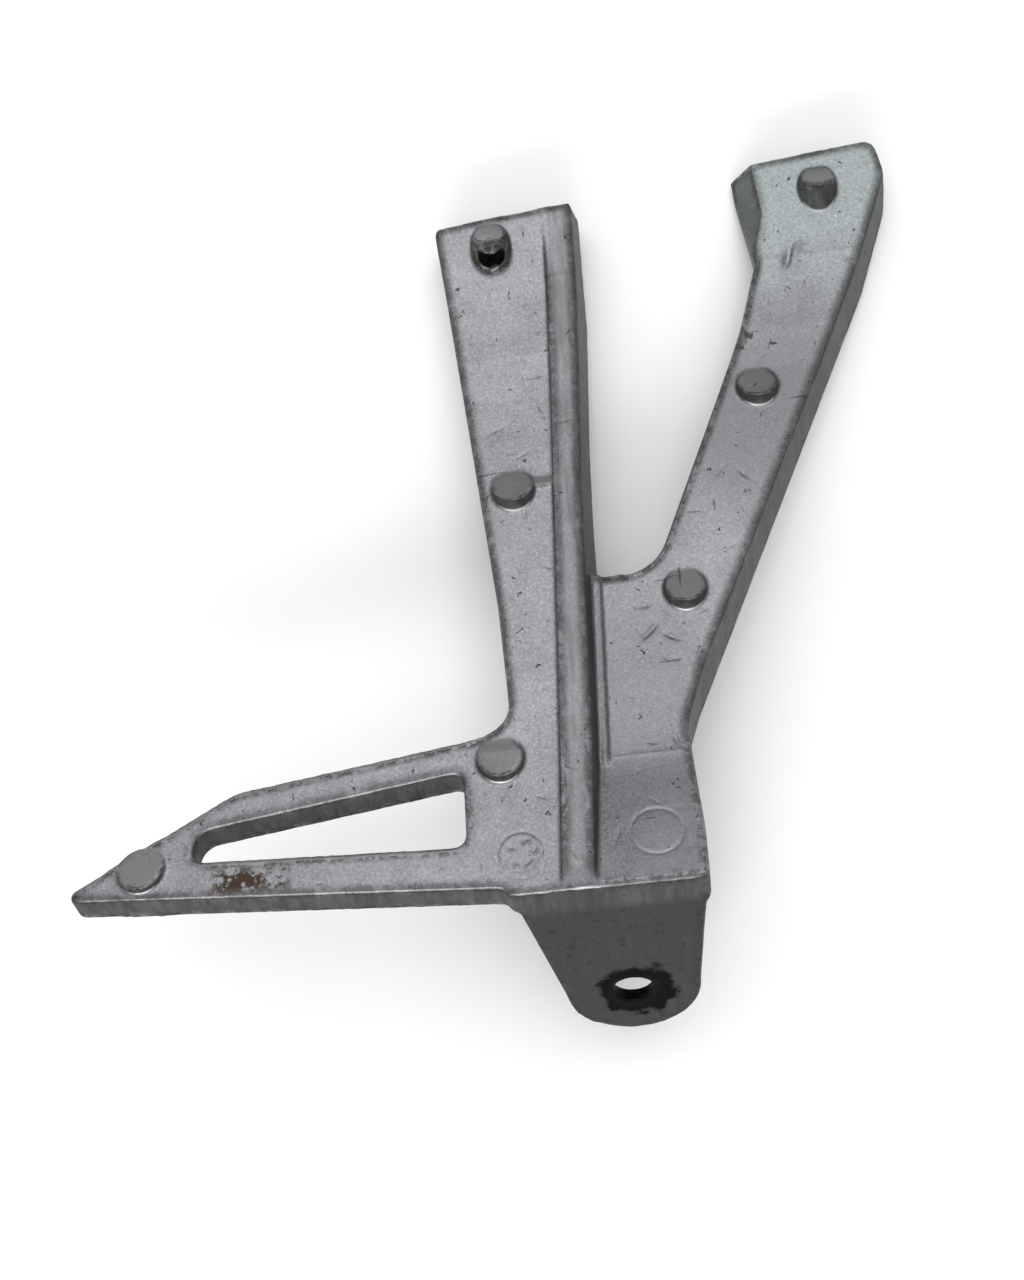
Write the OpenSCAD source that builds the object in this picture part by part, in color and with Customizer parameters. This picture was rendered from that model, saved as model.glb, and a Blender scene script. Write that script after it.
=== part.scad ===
// Footrest hanger of a motorcycle: one light alloy casting with two arms to the frame,
// a folding-footrest fork at the lower end and a wing with a long window on the left.
// Worked out in the frame of the casting die: X to the right, Y along the arms away
// from the fork, Z along the draw towards the inner side of the motorcycle.
// The last move lays the finished part down on its outer side, as it comes to rest.

/* [Fork] */
// Pivot axis to the right edge of the ears at the fold
ear_right = 17.8; // [15:0.1:24]
// Pivot axis to the left edge of the ears at the fold
ear_left = 21.6; // [16:0.1:30]
// Fold line down to the pivot axis, along the ear
pivot_drop = 36.8; // [28:0.1:46]
// Radius of the rounded ear ends, around the pivot axis
ear_r = 14.4; // [11:0.1:17]
// Bore for the pivot pin of the footrest
pivot_d = 8.3; // [6:0.1:12]
// Thickness of an ear at the pivot bore
ear_t = 3.8; // [3:0.1:8]
// Draft on each face of the ears, degrees
ear_draft = 1; // [0:0.25:3]
// Clear gap between the two ears at the pivot bore
fork_gap = 18; // [14:0.5:24]
// Lean of the fork away from the square to the plate, degrees
ear_lean = 6; // [0:0.5:10]

/* [Plate] */
// Length of the flat plate over the fork, fold line to the bend
plate_l = 30; // [28:0.5:40]
// Thickness of the flat plate
plate_t = 9; // [6:0.5:12]

/* [Side profile] */
// Slope of the left half above the plate, degrees
left_slope = 11; // [4:0.5:16]
// Slope of both arms, degrees
arm_slope = 19; // [14:0.5:24]
// Slope of the heads, degrees
head_slope = 38; // [34:0.5:44]
// Fold line to the second bend on the right arm
right_bend = 141; // [130:0.5:150]
// Fold line to the second bend on the left arm
left_bend = 136; // [125:0.5:145]
// Depth of both arms along the draw
arm_t = 12; // [9.5:0.5:16]
// Depth of the wing along the draw
wing_t = 7; // [5:0.25:10]

/* [Right arm] */
// Slant of the outer edge of the right arm from the Y axis, degrees
right_slant = 28; // [22:0.5:34]
// Fold line to the end of the right arm at its left corner
right_end = 161; // [154:0.5:168]
// Left side of the right arm at the second bend, from the pivot axis
neck_x = 46.6; // [43:0.1:48]
// Undercut of that side at the outer face of the bend
neck_cut = 2.6; // [0.5:0.1:4]
// Left side of the right head at the inner face, from the pivot axis
head_left = 48.3; // [44:0.1:52]
// Width of the right head along its end
head_w = 31.6; // [28:0.1:36]
// Fold line to the ground of the notch between the arms
notch_y = 70.3; // [62:0.1:80]
// Flare of the left side of the right head towards its outer side
head_flare = 4.1; // [1:0.1:6]
// Draft of the outer walls of the arms, degrees
wall_draft = 3; // [0:0.5:6]
// Slant of both ends across the arms, degrees
end_skew = 4; // [0:0.5:8]
// Rounding of the outer corner of the right head
head_r = 8; // [4:0.5:12]

/* [Left arm] */
// Middle of the left arm at the bosses, left of the pivot axis
left_mid = 14.5; // [12:0.1:18]
// Width of the left arm at its end
left_w = 32.5; // [28:0.1:38]
// Draft of the right wall of the left arm, degrees
rib_draft = 5.6; // [1:0.2:7]
// Width of the low ledge at the foot of that wall, on the web
ledge_w = 2.3; // [1:0.1:4]
// Height of the ledge
ledge_h = 0.8; // [0.4:0.1:1.4]
// Fold line to the end of the left arm
left_end = 149.1; // [144:0.1:156]
// Height of the edge rib over the face of the left arm
rib_h = 1.8; // [0.8:0.1:3]
// Width of the edge rib at the upper end
rib_w = 6.8; // [5:0.1:10]
// Width of the edge rib at the lower end
rib_foot_w = 6.6; // [5:0.1:10]

/* [Wing] */
// Tip of the wing, left of the pivot axis
wing_x = 114.9; // [100:0.1:130]
// Fold line to the lower edge of the wing at the ears
wing_low = 2; // [0:0.1:5]
// Rise of the lower edge towards the tip, degrees
wing_low_a = 3.8; // [0:0.1:8]
// Upper edge of the wing at the left arm
wing_high = 35; // [30:0.1:42]
// Fall of the upper edge away from the arm, degrees
wing_high_a = 6.7; // [2:0.1:12]
// Fall of the upper edge near the tip, degrees
wing_tip_a = 27.5; // [20:0.5:35]
// Web between window and left arm edge
window_gap = 10.8; // [8:0.1:16]
// Length of the window
window_l = 56.5; // [40:0.5:62]
// Width of the rail under the window
rail_low = 8.6; // [6:0.1:12]
// Width of the rail over the window
rail_high = 6.4; // [4:0.1:9]

/* [Bosses] */
// Diameter of the ejector bosses at their flat ends
boss_d = 9; // [7:0.1:11]
// Taper of the boss sides, degrees
boss_taper = 7; // [2:0.5:10]
// Diameter of the tapped holes in the heads, at the core
tap_d = 6.2; // [5:0.1:7]
// Depth of the tapped hole in the right head
tap_depth = 8.2; // [6:0.1:8.6]
// Depth of the tapped hole in the left head, which cuts through the lower wall of its boss
tap_deep = 13.2; // [11:0.1:15]
// Lean of both tapped holes from the draw, degrees
tap_lean = 38; // [0:1:40]
// Middle of the left tapped hole on the outer side, from the end of the arm
tap_end = 9; // [5:0.1:10]

/* [Hidden] */
$fn = 48;
arc_step = 7.5;
big = 240;
cast_grey = [0.62, 0.63, 0.64];

// Heights of the inner face over the die plane, right and left half, as a function of Y
right_bend_z = (right_bend - plate_l) * tan(arm_slope);
left_knee_z = plate_l * tan(left_slope);
left_bend_z = left_knee_z + (left_bend - plate_l) * tan(arm_slope);
function right_z(y) = y < plate_l ? 0 : y < right_bend ? (y - plate_l) * tan(arm_slope)
    : right_bend_z + (y - right_bend) * tan(head_slope);
// The face of the left arm climbs to the rib towards the end of the arm
pocket_slope = head_slope + 5;
pocket_end = left_bend + rib_h / (tan(pocket_slope) - tan(head_slope));
function left_z(y) = y < plate_l ? y * tan(left_slope)
    : y < left_bend ? left_knee_z + (y - plate_l) * tan(arm_slope)
    : left_bend_z + min((y - left_bend) * tan(pocket_slope), rib_h + (y - left_bend) * tan(head_slope));

// Outer side: under the plate, along each arm and behind its head
beyond_y = 230;
function head_rise(y, y0) = (y - y0) * tan(head_slope);
right_back_z = right_bend_z - arm_t;
left_back_z = left_bend_z - arm_t;
right_back = [[beyond_y, right_back_z + head_rise(beyond_y, right_bend)], [right_bend, right_back_z],
              [plate_l + (arm_t - plate_t) / tan(arm_slope), -plate_t], [-20, -plate_t]];
left_back = [[beyond_y, left_back_z + head_rise(beyond_y, left_bend)], [left_bend, left_back_z],
             [notch_y + 34, left_z(notch_y + 34) - arm_t], [notch_y, right_z(notch_y) - arm_t],
             [plate_l + (arm_t - plate_t) / tan(arm_slope), -plate_t], [-20, -plate_t]];
right_front = [[-20, 0], [plate_l, 0], [right_bend, right_bend_z],
               [beyond_y, right_bend_z + head_rise(beyond_y, right_bend)]];
left_front = [[-20, left_z(0)], [0, 0], [plate_l, left_knee_z], [left_bend, left_bend_z],
              [pocket_end, left_bend_z + rib_h + head_rise(pocket_end, left_bend)],
              [beyond_y, left_bend_z + rib_h + head_rise(beyond_y, left_bend)]];
rib_front = [[-20, 0], [0.5, 0], [0.5 + 2 * rib_h, left_z(0.5 + 2 * rib_h) + rib_h],
             [plate_l, left_knee_z + rib_h], [left_bend, left_bend_z + rib_h],
             [beyond_y, left_bend_z + rib_h + head_rise(beyond_y, left_bend)]];
wing_profile = [[-20, left_z(0)], [0, 0], [plate_l, left_knee_z],
                [plate_l + 40, left_z(plate_l + 40)], [plate_l + 40, left_z(plate_l + 40) - wing_t],
                [plate_l, left_knee_z - wing_t], [0, -wing_t], [-20, -wing_t]];

// Edges seen along the draw
left_edge_foot = left_mid + 4.3;
left_root = ear_left - 4.2;
left_edge_end = left_mid + 12.7;
rib_edge_foot = -4.4;
rib_edge_mid = [0.8, 88];
rib_edge_end = left_w - left_edge_end;
head_right = head_left + head_w;
edge_y = plate_l + 9.7;
function right_edge_x(y) = ear_right + (y - edge_y) * tan(right_slant);
function left_edge_x(y) = -left_edge_foot - 1 - (left_edge_end - left_edge_foot - 1) * (y - 62) / (left_end - 62);
function low(x) = wing_low - (x + ear_left) * tan(wing_low_a);
function high(x) = wing_high + (x + left_edge_foot) * tan(wing_high_a);
function rib_edge_x(y) = rib_edge_foot + (rib_edge_mid.x - rib_edge_foot) * y / rib_edge_mid.y;

// A corner list [x, y, radius] becomes an outline with true tangent arcs
function unit(v) = v / norm(v);
function arc_corner(a, b, c, r) =
    let (u = unit(a - b), v = unit(c - b), h = acos(u * v) / 2)
    r <= 0 ? [b] :
    let (m = b + unit(u + v) * r / sin(h),
         s = b + u * r / tan(h) - m, e = b + v * r / tan(h) - m,
         a0 = atan2(s.y, s.x), d = (atan2(e.y, e.x) - a0 + 540) % 360 - 180,
         k = max(2, ceil(abs(d) / arc_step)))
    [for (i = [0:k]) m + r * [cos(a0 + d * i / k), sin(a0 + d * i / k)]];
function xy(p) = [p.x, p.y];
function rounded(p) = let (n = len(p))
    [for (i = [0:n - 1]) each arc_corner(xy(p[(i + n - 1) % n]), xy(p[i]), xy(p[(i + 1) % n]), p[i][2])];

// Stock cut to an outline along the draw and to a profile across it
module slab(outline, profile) {
    intersection() {
        translate([0, 0, -big]) linear_extrude(2 * big) polygon(outline);
        rotate([90, 0, 90]) translate([0, 0, -big]) linear_extrude(2 * big) polygon(profile);
    }
}

// Everything on the far side of the plane through a, b and c, away from the point inside
module beyond(a, b, c, inside) {
    n0 = unit(cross(b - a, c - a));
    n = n0 * (inside - a) < 0 ? n0 : -n0;
    translate(a) rotate(acos(n.x), [0, -n.z, n.y]) translate([0, -big, -big]) cube([big, 2 * big, 2 * big]);
}

// Foot of a drafted wall one depth below point a of the edge a-b, on the right of a-b
function draft_foot(a, b, draft) = let (flat = unit([b.x - a.x, b.y - a.y]), w = arm_t * tan(draft))
    a + [flat.y * w, -flat.x * w, -arm_t];

// Everything past the end of a head: the end is square to the head and slanted; the corners
// come as a list of [x along the end, distance from the end, radius]
module past_end(corner, w, corners) {
    translate(corner) rotate([head_slope, 0, 0]) difference() {
        translate([-8, -14, -big]) cube([w + 16, big, 2 * big]);
        translate([0, 0, -2 * big]) linear_extrude(4 * big) polygon(rounded([
            [corners[0].x, -big, 0],
            for (c = corners) [c.x, c.x * tan(end_skew) - c.y, c[2]],
            [corners[len(corners) - 1].x, -big, 0]]));
    }
}

function at_right(x, y) = [x, y, right_z(y)];
function at_rib(x, y) = [x, y, left_z(min(y, left_bend)) + rib_h + max(0, y - left_bend) * tan(head_slope)];

// Right arm with its head and the web that joins it to the left arm
module right_arm() {
    top_y = right_end + 14;
    outline = rounded([
        [ear_right, plate_l - 10, 0],
        [ear_right, edge_y - 2.1, 10],
        [head_right, edge_y - 2.1 + (head_right - ear_right) / tan(right_slant), head_r],
        [head_right + 0.1, top_y, 0],
        [neck_x - head_flare, top_y, 0],
        [neck_x, right_bend, 0],
        [neck_x - 5.7, right_bend - 15.8, 30],
        [14.6, notch_y, 11],
        [rib_edge_foot, notch_y, 0],
        [rib_edge_foot - 2, plate_l - 10, 0]]);
    edge_low = at_right(ear_right, edge_y);
    edge_high = at_right(right_edge_x(right_bend), right_bend);
    inside = at_right(neck_x + 12, right_bend);
    // The left side of the head: undercut at the bend, flared over it with a bowed edge
    bend_front = at_right(neck_x, right_bend);
    bend_back = bend_front + [neck_cut, 0, -arm_t];
    end_back = at_right(head_left - head_flare, right_end + 3.7) - [0, 0, arm_t];
    end_front = at_right(head_left + 0.2, right_end);
    bow = at_right(head_left + 1.4, right_bend + 9);
    low_y = notch_y + 35;
    low_back = at_right(neck_x - 5.7 - (right_bend - 15.8 - low_y) * 0.473, low_y) - [0, 0, arm_t];
    difference() {
        slab(outline, concat(right_front, right_back));
        past_end(at_right(head_left, right_end), head_w,
            [[-20, 0, 0], [head_w - 2, 0, 3], [head_w + 0.9, 16, 0]]);
        intersection() {
            beyond(edge_low, edge_high, draft_foot(edge_low, edge_high, wall_draft), inside);
            translate([ear_right + 1.3, edge_y + 0.3, -60]) rotate([0, 0, 6 - right_slant])
                cube([big, big, 2 * big]);
        }
        intersection() {
            beyond(bow, end_front, end_back, inside);
            beyond(bend_front - [0.3, 0, 0], bow, end_back, inside);
            translate([0, right_bend, -60]) cube([neck_x + 12, 60, 2 * big]);
        }
        intersection() {
            beyond(bend_front, bend_back, end_back, inside);
            beyond(bend_front, bend_back, low_back, inside);
            translate([0, low_y - 20, -60]) cube([neck_x + 12, 120, 2 * big]);
        }
    }
}

// Left arm: a lower face with the raised rib along its right edge
module left_arm() {
    top_y = left_end + 14;
    spare = 1.8;
    outline = rounded([
        [-left_root, 0, 0],
        [-left_root, 20, 0],
        [-left_edge_foot, 30, 0],
        [-left_edge_foot - 1, 62, 60],
        [left_edge_x(top_y), top_y, 0],
        [rib_edge_end + spare, top_y, 0],
        [rib_edge_end + spare, left_end, 0],
        [rib_edge_mid.x + spare, rib_edge_mid.y, 0],
        [rib_edge_foot + spare, 0, 0]]);
    rib = [
        [rib_edge_foot - rib_foot_w, 0],
        [rib_edge_end - rib_w, left_end - 4],
        [rib_edge_end - rib_w, top_y],
        [rib_edge_end + spare, top_y],
        [rib_edge_end + spare, left_end],
        [rib_edge_mid.x + spare, rib_edge_mid.y],
        [rib_edge_foot + spare, 0]];
    foot = at_rib(rib_edge_foot, 0);
    middle = at_rib(rib_edge_mid.x, rib_edge_mid.y);
    top = at_rib(rib_edge_end, left_end + left_w * tan(end_skew));
    inside = at_rib(-left_mid, rib_edge_mid.y);
    difference() {
        union() {
            slab(outline, concat(left_front, left_back));
            slab(rib, concat(rib_front, left_back));
        }
        past_end([-left_edge_end, left_end, left_z(left_end)], left_w, [[0, 0, 1.5], [left_w + 20, 0, 0]]);
        intersection() {
            beyond(foot, middle, draft_foot(foot, middle, rib_draft), inside);
            beyond(middle, top, draft_foot(middle, top, rib_draft), inside);
        }
    }
}

// Low ledge on the web along the foot of the left arm
module ledge() {
    foot = rib_h + left_knee_z;
    slab([[rib_edge_x(plate_l) - 2, plate_l - 2], [rib_edge_x(notch_y) - 2, notch_y],
          [rib_edge_x(notch_y) + foot * tan(rib_draft) + ledge_w, notch_y],
          [rib_edge_x(plate_l) + foot * tan(rib_draft) + ledge_w, plate_l - 2]],
         [[0, -2], [plate_l - 2, -2], [right_bend, right_bend_z - 2],
          [right_bend, right_bend_z + ledge_h], [plate_l, ledge_h], [plate_l - 2, 0]]);
}

// Flat plate over the fork
module plate() {
    translate([0, 0, -plate_t]) linear_extrude(plate_t) polygon([
        [-left_root, 0], [ear_right + 0.2, 0], [ear_right + 0.6, plate_l * 0.4], [ear_right, plate_l + 2],
        [-left_root, plate_l + 2]]);
}

// Wing with its long window and the big fillet into the left arm
module wing() {
    knee = -(left_mid + 63.4);
    tip_y = high(knee) - (wing_x + knee) * tan(wing_tip_a);
    x1 = -left_edge_foot - window_gap;
    x0 = x1 - window_l;
    bottom = low(x0) + rail_low - 1;
    top = high(x0) - rail_high - 0.4;
    difference() {
        slab(rounded([
            [-left_root + 4, 0, 0],
            [-ear_left - 0.2, 0, 0],
            [-ear_left - 0.8, low(-ear_left) - 0.3, 1.2],
            [-wing_x, low(-wing_x), 1.2],
            [knee, high(knee), 15],
            [-left_edge_foot, high(-left_edge_foot), 8],
            [-left_edge_foot - 0.4, 52, 0],
            [-left_edge_foot + 8, 52, 0]]), wing_profile);
        translate([0, 0, -60]) linear_extrude(120) polygon(rounded([
            [x0, bottom, (top - bottom) * 0.34],
            [x1, low(x1) + rail_low, 2.5],
            [x1, high(x1) - rail_high, 2],
            [x0, top, (top - bottom) * 0.62]]));
    }
}

// One ear of the fork: straight sides tangent to the round end, drafted on both faces
module ear(v0) {
    t = tan(ear_draft);
    d = pivot_drop + ear_r + 2;
    r = ear_r - 0.15;
    function tangent(px, s) = let (q = [px, pivot_drop - 0.5], l = norm(q),
        a = atan2(q.y, q.x) + s * acos(r / l)) [r * cos(a), r * sin(a) - pivot_drop];
    intersection() {
        rotate([90, 0, 0]) translate([0, 0, -60]) linear_extrude(120) union() {
            polygon([[-ear_left, -0.5], tangent(-ear_left, 1), [0, -pivot_drop],
                     tangent(ear_right, -1), [ear_right, -0.5]]);
            translate([0, -pivot_drop]) circle(ear_r);
        }
        rotate([90, 0, 90]) translate([0, 0, -60]) linear_extrude(120) polygon([
            [v0 - t * (pivot_drop + 4), 4], [v0 + ear_t + t * (pivot_drop + 4), 4],
            [v0 + ear_t - t * (ear_r + 2), -d], [v0 + t * (ear_r + 2), -d]]);
    }
}

// Fork: two ears with one pivot bore, leaning from the fold line of the plate
ear_1 = pivot_drop * tan(ear_draft);
ear_2 = ear_1 + ear_t + fork_gap;
module fork() {
    rotate([-ear_lean, 0, 0]) difference() {
        union() {
            ear(ear_1);
            ear(ear_2);
        }
        translate([0, ear_1 - 10, -pivot_drop]) rotate([-90, 0, 0]) cylinder(h = ear_2 + 30, d = pivot_d);
    }
}

// Ejector boss along the draw, flush with the face at its upper side
module boss(x, y, z, depth, d) {
    r = d / 2;
    translate([x, y, z - depth]) cylinder(h = depth, r1 = r + depth * tan(boss_taper), r2 = r);
}

// Small saddle that ties the boss on the left arm to the rib
module saddle(y) {
    x = -left_mid + boss_d / 2 - 1;
    translate([x, y - 1.2, left_z(y) - 3]) cube([rib_edge_x(y) - rib_w + 0.6 - x, 2.4, 3.6]);
}

module bosses() {
    r = boss_d / 2;
    boss(-left_mid + 0.3, left_end - 4.8, at_rib(0, left_end - 4.8 + r - 0.4).z, arm_t - 1.5, boss_d - 0.8);
    boss(-left_mid + 0.2, 88.2, left_z(88.2 + r), 7, boss_d + 0.3);
    boss(-left_mid - 7, 28.7, left_z(28.7 + r), 4, boss_d + 0.6);
    boss(-wing_x + 18.1, 13.1, left_z(13.1 + r), 3, boss_d + 0.8);
    boss(head_left + 15.2, right_end - 6.6, right_z(right_end - 6.6 + r - 0.5), arm_t - 3, boss_d - 0.9);
    boss(43, 110.8, right_z(110.8 + r), 6, boss_d);
    boss(20.8, 65.1, right_z(65.1 + r), 6, boss_d);
    saddle(89);
}

// Tapped hole from the outer side, at a place on the back of the head
module tapped(x, y, back_z, depth) {
    translate([x, y, back_z]) rotate([tap_lean, 0, 0])
        translate([0, 0, -20]) cylinder(h = 20 + depth, d = tap_d);
}

// Where the back of a head lies, from its bend
function back_of(y, bend, z) = z + (y - bend) * tan(head_slope);
left_tap_y = left_end + 0.9 + arm_t * sin(head_slope) * cos(head_slope) - tap_end * cos(head_slope);
right_tap_y = right_end - 2.3;

module hanger_in_die() {
    difference() {
        union() {
            plate();
            right_arm();
            left_arm();
            ledge();
            wing();
            fork();
            bosses();
        }
        tapped(-left_mid + 0.3, left_tap_y, back_of(left_tap_y, left_bend, left_back_z), tap_deep);
        tapped(head_left + 15.2, right_tap_y, back_of(right_tap_y, right_bend, right_back_z), tap_depth);
    }
}

// Three contacts at rest: the outer bends of both arms and the end of the rear ear
contact_right = [neck_x + neck_cut, right_bend, right_back_z];
contact_left = [left_edge_x(left_bend), left_bend, left_back_z];
function contact_ear(n) = let (
    q = unit([n.x, n.y * sin(ear_lean) + n.z * cos(ear_lean)]),
    z = -pivot_drop - ear_r * q.y,
    y = ear_2 + ear_t - ear_r * q.y * tan(ear_draft))
    [-ear_r * q.x, y * cos(ear_lean) + z * sin(ear_lean), -y * sin(ear_lean) + z * cos(ear_lean)];
function ground(e) = let (c = unit(cross(contact_right - e, contact_left - e))) c.z > 0 ? c : -c;
touch = contact_ear(ground(contact_ear(ground(contact_ear([0, 0, 1])))));
up = ground(touch);

function turned(p) = let (k = unit([up.y, -up.x, 0]), q = p - touch)
    q * up.z + cross(k, q) * sin(acos(up.z)) + k * (k * q) * (1 - up.z);

// Outermost points, which put the origin under the middle of the part
ear_tip = pivot_drop + ear_r;
wing_tip = turned([-wing_x + 3, low(-wing_x) + 1, left_z(low(-wing_x))]);
head_side = turned([head_right, right_end - 4.2, right_z(right_end - 4.2) - arm_t]);
head_top = turned([head_right - 4.1, right_end + 7.3, right_z(right_end + 7.3) - arm_t]);
ear_bottom = turned([0, -ear_tip * sin(ear_lean) + (ear_1 + ear_r * tan(ear_draft)) * cos(ear_lean),
    -ear_tip * cos(ear_lean)]);

module hanger() {
    color(cast_grey)
        translate([-(wing_tip.x + head_side.x) / 2, -(ear_bottom.y + head_top.y) / 2, 0])
        rotate(acos(up.z), [up.y, -up.x, 0]) translate(-touch)
        hanger_in_die();
}

hanger();
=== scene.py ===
import math

import bmesh
import bpy
import numpy as np
from mathutils import Matrix, Vector


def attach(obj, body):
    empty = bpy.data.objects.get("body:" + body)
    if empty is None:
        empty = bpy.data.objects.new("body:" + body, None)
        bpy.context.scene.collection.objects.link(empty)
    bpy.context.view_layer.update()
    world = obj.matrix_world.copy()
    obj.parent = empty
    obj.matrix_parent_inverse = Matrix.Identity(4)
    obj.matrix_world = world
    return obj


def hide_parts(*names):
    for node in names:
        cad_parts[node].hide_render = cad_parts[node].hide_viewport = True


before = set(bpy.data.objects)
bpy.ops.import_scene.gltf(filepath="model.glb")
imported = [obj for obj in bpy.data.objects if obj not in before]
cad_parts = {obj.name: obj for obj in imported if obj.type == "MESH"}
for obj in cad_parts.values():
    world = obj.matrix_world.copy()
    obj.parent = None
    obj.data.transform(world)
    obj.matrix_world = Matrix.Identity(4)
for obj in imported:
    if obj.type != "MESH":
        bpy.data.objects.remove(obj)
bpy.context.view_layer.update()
scene = bpy.context.scene
MM = 0.001

# ---- The die
# The hanger is one high-pressure die casting. Every mark that the die left on it was laid
# out in the die's own frame: X to the right, Y along the arms, Z along the draw, from the
# fold line over the fork. The finished casting lies on its outer side, so that frame leans.
up_in_die = Vector((0.08259546, -0.57410565, 0.81460462))
touch_in_die = Vector((-1.576029, 20.507299, -53.550446)) * MM
shift_on_floor = Vector((18.818207, -81.064503, 0)) * MM
lean = Matrix.Rotation(math.acos(up_in_die.z), 4, Vector((up_in_die.y, -up_in_die.x, 0)))
die_to_floor = Matrix.Translation(shift_on_floor) @ lean @ Matrix.Translation(-touch_in_die)
floor_to_die = die_to_floor.inverted()
draw = np.array(lean.to_3x3() @ Vector((0, 0, 1)))


class Wire:
    """A socket of a node tree. Expressions on wires add the tree's Math nodes."""

    def __init__(self, tree, socket=None):
        self.tree, self.socket = tree, socket

    def node(self, kind, settings=None, sockets=None, out=0):
        made = self.tree.nodes.new(kind)
        for name, value in (settings or {}).items():
            if name == "stops":
                ramp = made.color_ramp
                while len(ramp.elements) < len(value):
                    ramp.elements.new(0.5)
                for stop, (place, colour) in zip(ramp.elements, value):
                    stop.position, stop.color = place, colour
            else:
                setattr(made, name, value)
        for name, value in (sockets or {}).items():
            if isinstance(value, Wire):
                self.tree.links.new(value.socket, made.inputs[name])
            else:
                made.inputs[name].default_value = value
        return Wire(self.tree, made.outputs[out] if made.outputs else None)

    def math(self, operation, *values, clamp=False):
        settings = {"operation": operation, "use_clamp": clamp}
        return self.node("ShaderNodeMath", settings, dict(enumerate(values)))

    def __add__(self, other): return self.math("ADD", self, other)
    def __radd__(self, other): return self.math("ADD", other, self)
    def __sub__(self, other): return self.math("SUBTRACT", self, other)
    def __rsub__(self, other): return self.math("SUBTRACT", other, self)
    def __mul__(self, other): return self.math("MULTIPLY", self, other)
    def __rmul__(self, other): return self.math("MULTIPLY", other, self)
    def __truediv__(self, other): return self.math("DIVIDE", self, other)
    def __pow__(self, other): return self.math("POWER", self, other)

    def step(self, start, end):
        """0 below start, 1 over end, smooth between. It falls where end is the lower one."""
        low, high = min(start, end), max(start, end)
        found = self.node("ShaderNodeMapRange", {"interpolation_type": "SMOOTHSTEP"},
                          {"Value": self, "From Min": low, "From Max": high})
        return found if end > start else 1 - found

    def inside(self, low, high, soft):
        return self.step(low - soft, low + soft) * self.step(high + soft, high - soft)

    def clamped(self):
        return self.math("ADD", self, 0, clamp=True)


# ---- The alloy
# Cast aluminium under a thin silver coat: a fine sparkling grain, cloudy patches, dark specks
# and chips along the edges and black grease round the bore. The flat ends of the ejector bosses
# are bare and a little darker. Painted shade darkens the side walls, in streaks along the draw,
# and the fork, the recesses and the edges; a painted highlight brightens the fillets under the bosses.
alloy = bpy.data.materials.new("cast_alloy")
alloy.use_nodes = True
alloy.node_tree.nodes.clear()
paint = Wire(alloy.node_tree)

silver = (0.305, 0.312, 0.330, 1)
silver_dull = (0.205, 0.209, 0.222, 1)
sparkle_and_highlight = (0.62, 0.63, 0.65, 1)
sparkle_dark = (0.115, 0.117, 0.124, 1)
rib_dull = (0.150, 0.152, 0.157, 1)
head_tint = (0.238, 0.288, 0.276, 1)
boss_bare = (0.268, 0.267, 0.260, 1)
wall_shade = (0.040, 0.041, 0.038, 1)
shade_and_grime = (0.070, 0.069, 0.064, 1)
chip_dark = (0.030, 0.028, 0.024, 1)
fork_shade = (0.062, 0.063, 0.059, 1)
grease_black = (0.003, 0.003, 0.003, 1)
stain_brown = (0.038, 0.016, 0.004, 1)
metal_roughness = 0.46
sparkle_per_mm = 1.7
cloud_per_mm = 0.14
patch_per_mm = 0.035

place = paint.node("ShaderNodeTexCoord", out="Object")
facing = paint.node("ShaderNodeTexCoord", out="Normal")
turn = floor_to_die.to_euler()
in_die = paint.node("ShaderNodeMapping", {"vector_type": "POINT"}, {
    "Vector": place, "Location": floor_to_die.translation, "Rotation": turn})
in_mm = paint.node("ShaderNodeVectorMath", {"operation": "SCALE"},
                   {"Vector": in_die, "Scale": 1 / MM})
facing_die = paint.node("ShaderNodeMapping", {"vector_type": "NORMAL"},
                        {"Vector": facing, "Rotation": turn})


def axes(vector):
    split = vector.node("ShaderNodeSeparateXYZ", sockets={"Vector": vector})
    return [Wire(vector.tree, split.socket.node.outputs[n]) for n in "XYZ"]


def noise(vector, per_mm, detail=3.0, roughness=0.5, distortion=0.0, seed=0.0):
    return vector.node("ShaderNodeTexNoise", {"noise_dimensions": "4D"}, {
        "Vector": vector, "Scale": per_mm, "Detail": detail, "Roughness": roughness,
        "Distortion": distortion, "W": seed})


def stretched(vector, scale, turn_deg=0.0):
    return vector.node("ShaderNodeMapping", {"vector_type": "POINT"}, {
        "Vector": vector, "Scale": scale, "Rotation": (0, 0, math.radians(turn_deg))})


def mixed(factor, a, b):
    """Colours or wires a and b, mixed by a mask."""
    made = paint.tree.nodes.new("ShaderNodeMix")
    made.data_type = "RGBA"
    for socket, value in ((made.inputs[0], factor), (made.inputs[6], a), (made.inputs[7], b)):
        if isinstance(value, Wire):
            paint.tree.links.new(value.socket, socket)
        else:
            socket.default_value = value
    return Wire(paint.tree, made.outputs[2])


x, y, z = axes(in_mm)
across, along, out_of_die = axes(facing_die)

# Seen from within, the metal is thin along an edge; seen from outside, the sky is narrow in a recess
within = paint.node("ShaderNodeAmbientOcclusion", {"samples": 6, "inside": True, "only_local": True},
                    {"Distance": 2.4 * MM}, out="AO")
near_edge = within.step(0.93, 0.66)
on_round = within.step(0.950, 0.80)
on_front = within.step(0.975, 0.90)
open_sky = paint.node("ShaderNodeAmbientOcclusion", {"samples": 6, "only_local": True},
                      {"Distance": 5.0 * MM}, out="AO")
recess = open_sky.step(0.80, 0.36)

sparkle = noise(in_mm, sparkle_per_mm, 2.0, 0.6)
cloud = noise(in_mm, cloud_per_mm, 4.0, 0.55, seed=3.0)
patch = noise(in_mm, patch_per_mm, 3.0, 0.5, seed=7.0)
grit = noise(in_mm, 0.9, 4.0, 0.65, seed=11.0)

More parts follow.
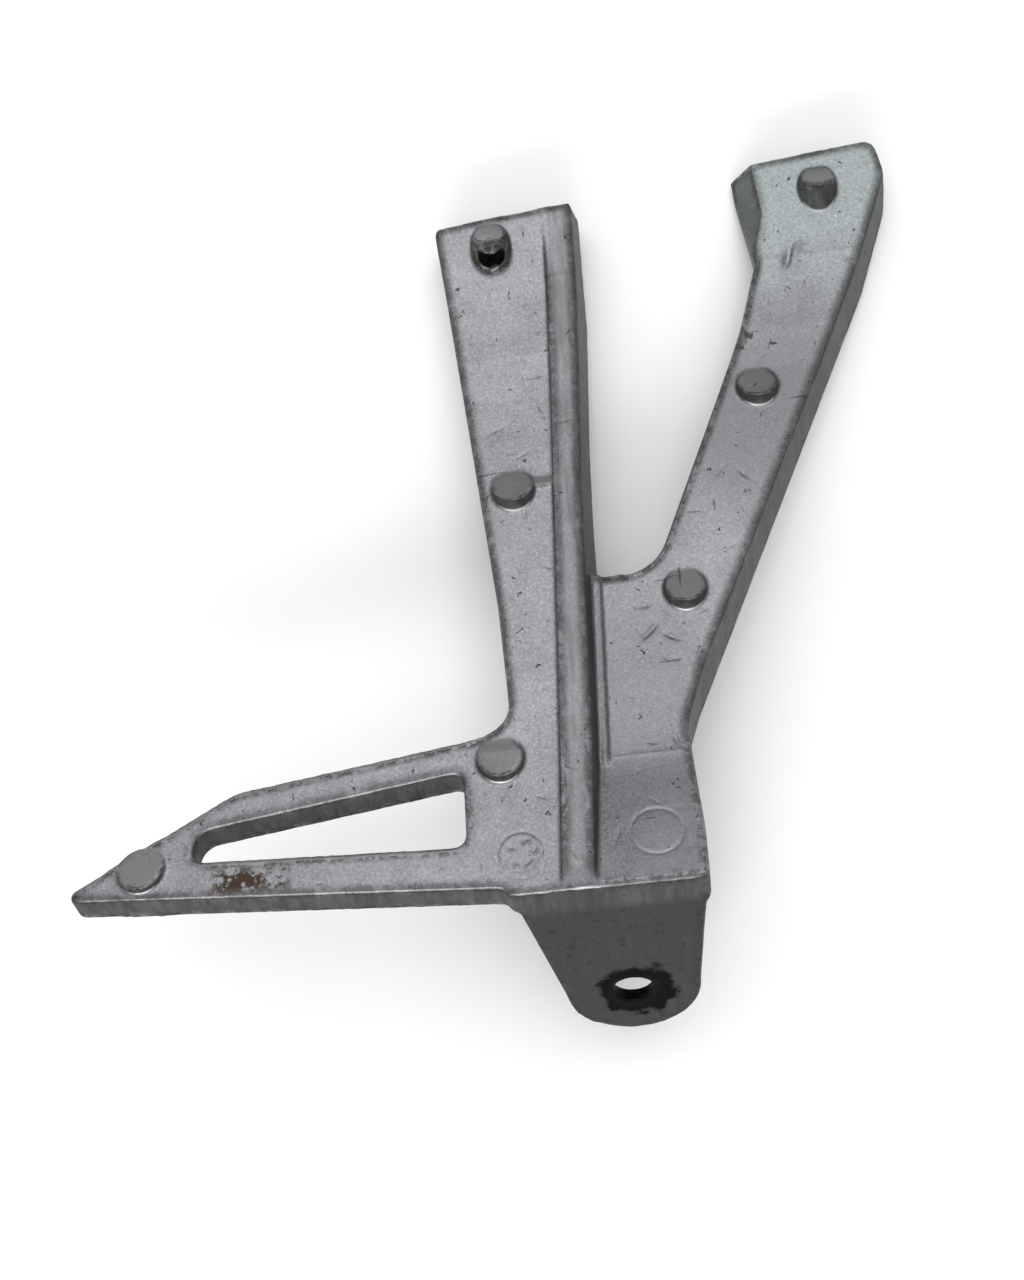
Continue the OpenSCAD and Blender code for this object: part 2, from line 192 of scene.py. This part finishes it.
# Places on the casting, in the die's frame
flare = across.step(-0.35, -0.55) * y.step(133.0, 138.0) * x.step(22.0, 26.0)
is_wall = ((out_of_die.step(0.60, 0.34) + along.step(0.50, 0.72)).clamped() * (1 - flare)
           + flare * 0.72)
on_ear = z.step(-5.0, -9.0) * along.step(-0.6, -0.8)
on_boss_end = (out_of_die.step(0.986, 0.996)
               * (1 - (x.step(-6.0, -3.0) * y.step(40.0, 34.0))) * z.step(-3.0, 0.0))
bore_from = ((x * x) + (z + 36.6) * (z + 36.6)).math("SQRT", (x * x) + (z + 36.6) * (z + 36.6))
grease = (bore_from + (noise(in_mm, 0.30, 4.0, 0.6, seed=21.0) - 0.5) * 9.0
          - (x - 1.0) * 0.12).step(9.2, 7.6) * y.step(9.0, 6.5) * z.step(-22.0, -27.0)
# A mottle for the painted shade on the fork
fork_mottle = noise(stretched(in_mm, (1.0, 1.0, 0.55)), 0.085, 4.0, 0.62, 0.6, seed=23.0)

colour = mixed((cloud - 0.30) * 1.6, silver_dull, silver)
tinted = x.step(24.0, 40.0) * (y + (cloud - 0.5) * 40.0).step(128.0, 152.0)
colour = mixed(tinted * 0.60, colour, head_tint)
glint = noise(in_mm, 2.8, 1.0, 0.5, seed=13.0)
colour = mixed(sparkle.step(0.50, 0.70) * 0.22, colour, sparkle_and_highlight)
colour = mixed(sparkle.step(0.50, 0.32) * 0.42, colour, sparkle_dark)
colour = mixed(glint.step(0.60, 0.70) * 0.24, colour, sparkle_and_highlight)
colour = mixed(patch.step(0.58, 0.75) * 0.22, colour, silver_dull)
on_rib = (x - (y * 0.0655 - 11)).step(0.4, 1.4) * (x - (y * 0.059 - 4.0)).step(1.2, 0.2)
streaks = noise(stretched(in_mm, (1.0, 0.14, 0.2)), 0.55, 4.0, 0.62, 0.4, seed=17.0)
colour = mixed(on_rib * (streaks.step(0.38, 0.64) * 0.60 + 0.34), colour, rib_dull)
on_web = x.inside(-3.0, 22.0, 6.0) * y.inside(14.0, 62.0, 10.0)
colour = mixed(on_web * (0.36 + (cloud - 0.5) * 0.8), colour, rib_dull)
on_plate = x.step(2.0, 10.0) * y.step(24.0, 15.0)
colour = mixed(on_plate * 0.34, colour, silver)
# Darker over the middle of the right arm
right_arm_darker = x.step(16.0, 34.0) * y.inside(84.0, 126.0, 14.0)
colour = mixed(right_arm_darker * (0.54 + (cloud - 0.5) * 0.8), colour, rib_dull)
colour = mixed(on_boss_end * (0.65 + (grit - 0.5) * 0.8), colour, boss_bare)
# Painted shade: the side walls are darkened, in streaks along the draw
wall_streaks = noise(stretched(in_mm, (1.0, 1.0, 0.22)), 0.5, 4.0, 0.6, 0.5, seed=31.0)
colour = mixed((is_wall * (0.86 + (wall_streaks - 0.5) * 0.7)).clamped(), colour, wall_shade)
# Painted shade: the fork is darkened, with a mottle
colour = mixed((on_ear * (0.86 + (fork_mottle - 0.5) * 1.5)).clamped(), colour, fork_shade)
# Painted shade in the recesses, where little open sky is seen
colour = mixed(recess * (0.26 + (grit - 0.5) * 0.9) * (1 - is_wall * 0.6), colour, shade_and_grime)

# Chips follow the edges, specks lie anywhere, scratches run in two directions
chips = (on_round * (1 - on_boss_end * 0.8)
         * noise(in_mm, 0.52, 5.0, 0.76, seed=41.0).step(0.495, 0.525))
grime = noise(in_mm, 0.11, 6.0, 0.68, 0.4, seed=71.0).step(0.60, 0.70)
rubbed = near_edge * noise(in_mm, 0.16, 3.0, 0.55, seed=43.0).step(0.46, 0.62)
specks = noise(in_mm, 0.46, 3.0, 0.55, 0.9, seed=47.0).step(0.668, 0.700)
scratch_a = noise(stretched(in_mm, (1.0, 0.07, 0.4), 38.0), 0.85, 1.5, 0.5, seed=53.0).step(0.725, 0.750)
scratch_b = noise(stretched(in_mm, (0.09, 1.0, 0.4), 18.0), 0.75, 1.5, 0.5, seed=59.0).step(0.725, 0.750)
scratches = (scratch_a + scratch_b).clamped() * (1 - is_wall)
ear_specks = on_ear * noise(in_mm, 0.55, 4.0, 0.6, 0.5, seed=67.0).step(0.56, 0.64)
colour = mixed(ear_specks * 0.55, colour, chip_dark)
# Painted highlight: the fillets that face the fork are brightened, except along the front edges
foot_highlight = (along.step(-0.67, -0.78) * out_of_die.step(0.24, 0.40)
               * (1 - on_front * (0.97 - rubbed * 0.5))).clamped()
front_edge = on_front * along.step(-0.12, -0.36) * out_of_die.step(0.06, 0.24)
worn_front = (front_edge * (1 - rubbed * 0.75)).clamped()
colour = mixed(foot_highlight * 0.70, colour, sparkle_and_highlight)
colour = mixed(rubbed * (1 - on_ear) * 0.30, colour, sparkle_and_highlight)
# A dark band along every edge, partly scuffs and partly painted shade; the painted shade is stronger on edges facing
# the heads
colour = mixed(near_edge * (0.22 + along.step(0.05, 0.45) * 0.45) * (1 - foot_highlight), colour, shade_and_grime)
colour = mixed(worn_front * 0.72, colour, chip_dark)
colour = mixed(grime * 0.34, colour, shade_and_grime)
colour = mixed(chips * 0.80, colour, chip_dark)
colour = mixed(specks * 0.80, colour, chip_dark)
colour = mixed(scratches * 0.55, colour, chip_dark)

# A brown stain on the lower rail of the wing
stain_spread = x.inside(-81.5, -66.0, 1.6) * y.inside(6.2, 11.4, 1.5)
stain = (stain_spread * noise(in_mm, 0.30, 5.0, 0.70, seed=61.0).step(0.45, 0.51)).clamped()
colour = mixed(stain, colour, stain_brown)
colour = mixed(grease, colour, grease_black)

dull_marks = (chips + specks + stain).clamped()
rough = (metal_roughness - foot_highlight * 0.12 + worn_front * 0.36 + (grit - 0.5) * 0.22 + (sparkle - 0.5) * 0.20 + is_wall * 0.06
         + on_ear * 0.04 + dull_marks * 0.25 - rubbed * 0.12 + grease * 0.16).clamped()
metal = ((0.96 - dull_marks * 0.55) * (1 - stain * 0.8) * (1 - worn_front * 0.75) * (1 - is_wall * (1 - on_ear) * 0.35)
         ).clamped()

height = (sparkle * 0.040 + grit * 0.045 + glint * 0.015 + cloud * 0.12
          - chips * 0.10 - specks * 0.08 - scratches * 0.04)
bump = paint.node("ShaderNodeBump", sockets={
    "Strength": 0.85, "Distance": MM, "Height": height})
shader = paint.node("ShaderNodeBsdfPrincipled", sockets={
    "Base Color": colour, "Roughness": rough, "Metallic": metal, "Normal": bump})
paint.node("ShaderNodeOutputMaterial", sockets={"Surface": shader})


# ---- The casting
# The bare shape comes from the CAD solid. The real casting has no sharp edge: the die rounds
# every corner and fills the foot of every wall, so the skin is rebuilt in small even cells
# and eased. It is one solid piece, bolted to the frame by its two heads.
cell = 0.30 * MM
easing_rounds = 20
wide_rounds = 58
kept_share = 0.172

skin_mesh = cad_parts["hanger"].data.copy()
merged = bmesh.new()
merged.from_mesh(skin_mesh)
bmesh.ops.remove_doubles(merged, verts=merged.verts, dist=1e-6)
merged.to_mesh(skin_mesh)
merged.free()
skin_mesh.materials.clear()
hanger = bpy.data.objects.new("hanger_casting", skin_mesh)
scene.collection.objects.link(hanger)


def settled(obj):
    """Turns an object's live modifiers into a plain mesh."""
    seen = obj.evaluated_get(bpy.context.evaluated_depsgraph_get())
    plain = bpy.data.meshes.new_from_object(seen)
    obj.modifiers.clear()
    obj.data = plain


cells = hanger.modifiers.new("cells", "REMESH")
cells.mode = "VOXEL"
cells.voxel_size = cell * 1
ease = hanger.modifiers.new("ease", "SMOOTH")
ease.factor = 0.5
ease.iterations = easing_rounds
settled(hanger)

# Marks of the die and of use, pressed into the skin along the draw:
# rings (x, y, radius, half width, height) and dents (x, y, length, width, turn, depth), in mm
rings = [(8.7, 11.4, 5.3, 0.35, -0.16), (-18.6, 8.0, 4.1, 0.40, 0.11),
         (-18.6, 8.0, 4.8, 0.40, -0.08)]
dents = [(12.1, 56.7, 2.4, 0.55, 40, 0.40), (16.7, 55.0, 1.9, 0.5, -30, 0.34),
         (11.7, 62.5, 1.2, 0.6, 10, 0.30), (22.2, 51.3, 2.0, 0.5, 60, 0.28),
         (54.6, 140.9, 2.6, 0.9, 62, 0.75), (56.6, 142.6, 2.2, 1.0, 40, -0.45),
         (37.0, 90.1, 1.5, 0.5, -50, 0.32), (-17.1, 10.2, 1.1, 0.5, 25, -0.34),
         (-20.3, 8.7, 0.5, 0.8, 60, -0.26), (-17.3, 6.4, 1.3, 0.4, 38, 0.28),
         (-19.6, 5.6, 0.5, 0.5, 0, -0.24), (-16.0, 8.8, 0.7, 0.6, 80, 0.30)]
chance = np.random.default_rng(19)
for _ in range(110):
    dents.append((chance.uniform(-30, 80), chance.uniform(0, 160), chance.uniform(0.5, 1.9),
                  chance.uniform(0.25, 0.5), chance.uniform(0, 180), chance.uniform(0.06, 0.22)))
skin = hanger.data
count = len(skin.vertices)
flat = np.empty(count * 3, np.float32)
skin.vertices.foreach_get("co", flat)
points = flat.reshape(-1, 3).astype(float)
normals = np.empty(count * 3, np.float32)
skin.vertices.foreach_get("normal", normals)
normals = normals.reshape(-1, 3)
turn_back = np.array(floor_to_die.to_3x3())
in_die_mm = (points @ turn_back.T + np.array(floor_to_die.translation)) / MM
inner_side = np.clip((normals @ draw - 0.6) / 0.2, 0, 1)
# The outer edges are rounder than the small features: a second easing leaves out the bosses
# (x, y), the foot of the rib and the ledge on the web
boss_places = [(-14.2, 144.3), (-14.3, 88.2), (-21.5, 28.7), (-96.8, 13.1), (63.5, 154.4),
               (43.0, 110.8), (20.8, 65.1)]
dx, dy, dz = in_die_mm.T
eased = np.ones(count)
for cx, cy in boss_places:
    eased *= np.clip((np.hypot(dx - cx, dy - cy) - 6.6) / 2, 0, 1)
eased *= np.clip((np.abs(dx - (-11 + 0.0655 * dy)) - 1.6) / 1.2, 0, 1)
on_ledge = (np.abs(dx - (0.2 + 0.059 * dy)) < 3.2) & (dy > 24) & (dy < 74)
on_ledge &= dz < np.maximum(dy - 30, 0) * 0.3443 + 2.2
eased[on_ledge] = 0
round_edges = hanger.vertex_groups.new(name="round_edges")
for level in range(1, 9):
    chosen = np.nonzero(np.round(eased * 8) == level)[0]
    round_edges.add(chosen.tolist(), level / 8, "REPLACE")
wide_ease = hanger.modifiers.new("wide_ease", "SMOOTH")
wide_ease.factor, wide_ease.iterations = 0.5, wide_rounds
wide_ease.vertex_group = "round_edges"
settled(hanger)
hanger.vertex_groups.clear()
skin = hanger.data
skin.vertices.foreach_get("co", flat)
points = flat.reshape(-1, 3).astype(float)
in_die_mm = (points @ turn_back.T + np.array(floor_to_die.translation)) / MM

# The face runs through the bends in long easy curves: (place, change of slope, reach)
dx, dy, dz = in_die_mm.T
on_left = 1 / (1 + np.exp(np.clip((dx - (-3.2 + 0.059 * dy)) * 3, -40, 40)))
right_face = np.where(dy < 30, 0, np.where(dy < 141, (dy - 30) * 0.3443, 38.22 + (dy - 141) * 0.7813))
left_face = np.where(dy < 30, dy * 0.1944, np.where(
    dy < 136, 5.83 + (dy - 30) * 0.3443, 42.33 + (dy - 136) * 0.7813))
lift = np.zeros(count)
for share, face, bends in ((1 - on_left, right_face, ((30, 0.344, 7), (141, 0.437, 11))),
                           (on_left, left_face, ((30, 0.150, 8), (136, 0.437, 15)))):
    near_face = np.clip(1 + (dz - face) / 9, 0, 1)
    for bend_y, change, reach in bends:
        off = np.abs(dy - bend_y)
        fade = np.clip((26 - off) / 10, 0, 1)
        lift += share * near_face * fade * change / 2 * (np.hypot(off, reach) - off)
points += draw[None, :] * lift[:, None] * MM
lift = np.zeros(count)
for cx, cy, radius, half, tall in rings:
    away = np.hypot(in_die_mm[:, 0] - cx, in_die_mm[:, 1] - cy) - radius
    lift += tall * np.exp(-(away / half) ** 2)
for cx, cy, long, wide, turn_deg, deep in dents:
    a = math.radians(turn_deg)
    u = (dx - cx) * math.cos(a) + (dy - cy) * math.sin(a)
    v = (dy - cy) * math.cos(a) - (dx - cx) * math.sin(a)
    near = np.abs(u) + np.abs(v) < 6 * (long + wide)
    lift[near] -= deep * np.exp(-(u[near] / long) ** 2 - (v[near] / wide) ** 2)
points += draw[None, :] * (lift * inner_side)[:, None] * MM
skin.vertices.foreach_set("co", points.ravel())
skin.update()

# The edges are nicked by handling: a rule on the whole skin, so it is a node tree
tree = bpy.data.node_groups.new("worn_edges", "GeometryNodeTree")
for label, kind, value in (("Geometry", "Geometry", None), ("Nick depth", "Float", 0.16 * MM),
                           ("Nicks per metre", "Float", 330.0), ("Blur rounds", "Int", 7),
                           ("Seed", "Float", 5.0), ("Alloy", "Material", None)):
    socket = tree.interface.new_socket(label, in_out="INPUT", socket_type="NodeSocket" + kind)
    if value is not None:
        socket.default_value = value
tree.interface.new_socket("Geometry", in_out="OUTPUT", socket_type="NodeSocketGeometry")
rule = Wire(tree)
given = tree.nodes.new("NodeGroupInput")
take = {s.name: Wire(tree, s) for s in given.outputs if s.name}
at = rule.node("GeometryNodeInputPosition")
normal = rule.node("GeometryNodeInputNormal")
average = rule.node("GeometryNodeBlurAttribute", {"data_type": "FLOAT_VECTOR"},
                    {"Value": at, "Iterations": take["Blur rounds"]})
gap = rule.node("ShaderNodeVectorMath", {"operation": "SUBTRACT"}, {0: at, 1: average})
bulge = rule.node("ShaderNodeVectorMath", {"operation": "DOT_PRODUCT"},
                  {0: gap, 1: normal}, out="Value") / MM
convex = bulge.step(0.05, 0.13)
nicks = rule.node("ShaderNodeTexNoise", {"noise_dimensions": "4D"}, {
    "Vector": at, "Scale": take["Nicks per metre"], "Detail": 2.5, "W": take["Seed"]})
press = convex * nicks.step(0.56, 0.70) * take["Nick depth"] * -1
moved = rule.node("ShaderNodeVectorMath", {"operation": "SCALE"}, {"Vector": normal, "Scale": press})
worn = rule.node("GeometryNodeSetPosition", sockets={"Geometry": take["Geometry"], "Offset": moved})
real = rule.node("GeometryNodeRealizeInstances", sockets={"Geometry": worn})
coated = rule.node("GeometryNodeSetMaterial", sockets={"Geometry": real, "Material": take["Alloy"]})
end = tree.nodes.new("NodeGroupOutput")
tree.links.new(coated.socket, end.inputs["Geometry"])

wear = hanger.modifiers.new("wear", "NODES")
wear.node_group = tree
ids = {item.name: item.identifier for item in tree.interface.items_tree if item.in_out == "INPUT"}
wear[ids["Alloy"]] = alloy
thin = hanger.modifiers.new("thin", "DECIMATE")
thin.ratio = kept_share
settled(hanger)
hanger.data.shade_smooth()
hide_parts("hanger")
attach(hanger, "root")

# ---- The studio
# A plain pale floor under the casting, one wide soft box overhead towards the heads and a low
# strip of light from the fork's side, which draws the bright lines along the fillets together with
# the painted highlight there.
floor_size = 6.0
floor_mesh = bpy.data.meshes.new("studio_floor")
floor_mesh.from_pydata([(sx * floor_size, sy * floor_size, 0) for sx, sy in
                        ((-1, -1), (1, -1), (1, 1), (-1, 1))], [], [(0, 1, 2, 3)])
floor_obj = bpy.data.objects.new("studio_floor", floor_mesh)
scene.collection.objects.link(floor_obj)
pale = bpy.data.materials.new("pale_floor")
pale.use_nodes = True
pale.node_tree.nodes["Principled BSDF"].inputs["Base Color"].default_value = (0.93, 0.93, 0.93, 1)
pale.node_tree.nodes["Principled BSDF"].inputs["Roughness"].default_value = 0.9
pale.node_tree.nodes["Principled BSDF"].inputs["Specular IOR Level"].default_value = 0.1
floor_mesh.materials.append(pale)

middle = Vector((0.0, 0.0, 0.02))
for name, spot, wide, tall, watts in (
        ("soft_box", (-0.10, 0.62, 1.05), 1.3, 1.0, 6.5),
        ("over_floor", (0.0, -0.10, 1.60), 1.2, 1.2, 3.0),
        ("low_strip", (-0.20, -0.95, 0.62), 0.9, 0.16, 5.5)):
    data = bpy.data.lights.new(name, "AREA")
    data.shape, data.size, data.size_y, data.energy = "RECTANGLE", wide, tall, watts
    lamp = bpy.data.objects.new(name, data)
    lamp.matrix_world = (Matrix.Translation(spot)
                         @ (middle - Vector(spot)).to_track_quat("-Z", "Y").to_matrix().to_4x4())
    scene.collection.objects.link(lamp)
world = bpy.data.worlds.new("studio_air")
world.use_nodes = True
air = Wire(world.node_tree)
sky = axes(air.node("ShaderNodeTexCoord", out="Generated"))[2]
backdrop = world.node_tree.nodes["Background"]
world.node_tree.links.new((0.22 + sky.step(0.0, 0.75) * 0.46).socket, backdrop.inputs["Strength"])
backdrop.inputs["Color"].default_value = (1, 1, 1, 1)
scene.view_settings.view_transform = "Standard"
scene.world = world

# The camera stands where the photograph was taken from
right = Vector((0.99687711, -0.07803978, -0.01207521))
down = Vector((-0.07893123, -0.98938416, -0.12201989))
forward = Vector((-0.00242461, 0.12259195, -0.9924542))
camera_data = bpy.data.cameras.new("camera")
camera_data.sensor_width, camera_data.lens = 36, 42.19
camera_data.clip_start, camera_data.clip_end = 0.01, 20
camera = bpy.data.objects.new("camera", camera_data)
camera.matrix_world = (Matrix.Translation((-0.000733, -0.054247, 0.351753))
                       @ Matrix((right, -down, -forward)).transposed().to_4x4())
scene.collection.objects.link(camera)
scene.camera = camera
